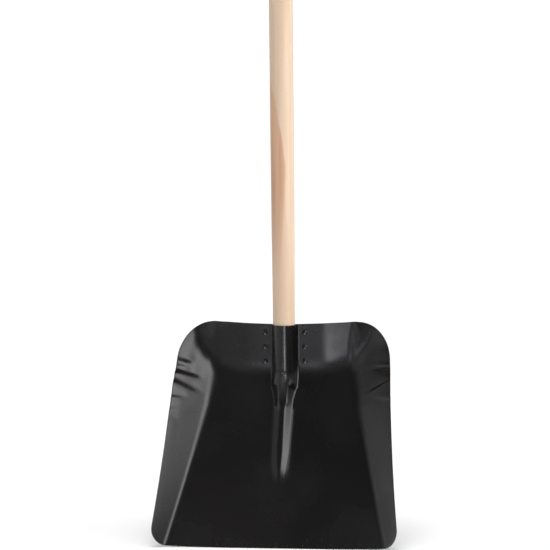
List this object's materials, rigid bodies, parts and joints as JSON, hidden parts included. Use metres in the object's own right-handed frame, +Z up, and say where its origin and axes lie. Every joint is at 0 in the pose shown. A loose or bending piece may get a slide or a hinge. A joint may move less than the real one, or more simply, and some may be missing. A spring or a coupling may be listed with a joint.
{
  "type": "snow shovel",
  "caption": "Snow shovel with a pressed-steel blade, riveted handle socket and straight wooden handle.",
  "frame": {"origin": "middle of the cutting edge, at mid thickness of the sheet", "axes": "+Z up the handle, towards its free end; -Y out of the hollow side of the blade; +X to the right seen from the hollow side"},
  "size_m": [0.3812, 0.1684, 1.4415],
  "materials": {
    "blade": "satin black paint",
    "socket_back_plate": "satin black paint",
    "socket_rivets": "satin black paint",
    "handle": "bare sanded beech",
    "handle_screw": "blackened steel"
  },
  "bodies": {
    "root": {"blade": "blade", "socket_back_plate": "socket_back_plate", "socket_rivets": "socket_rivets", "handle": "handle", "handle_screw": "handle_screw"}
  },
  "joints": []
}
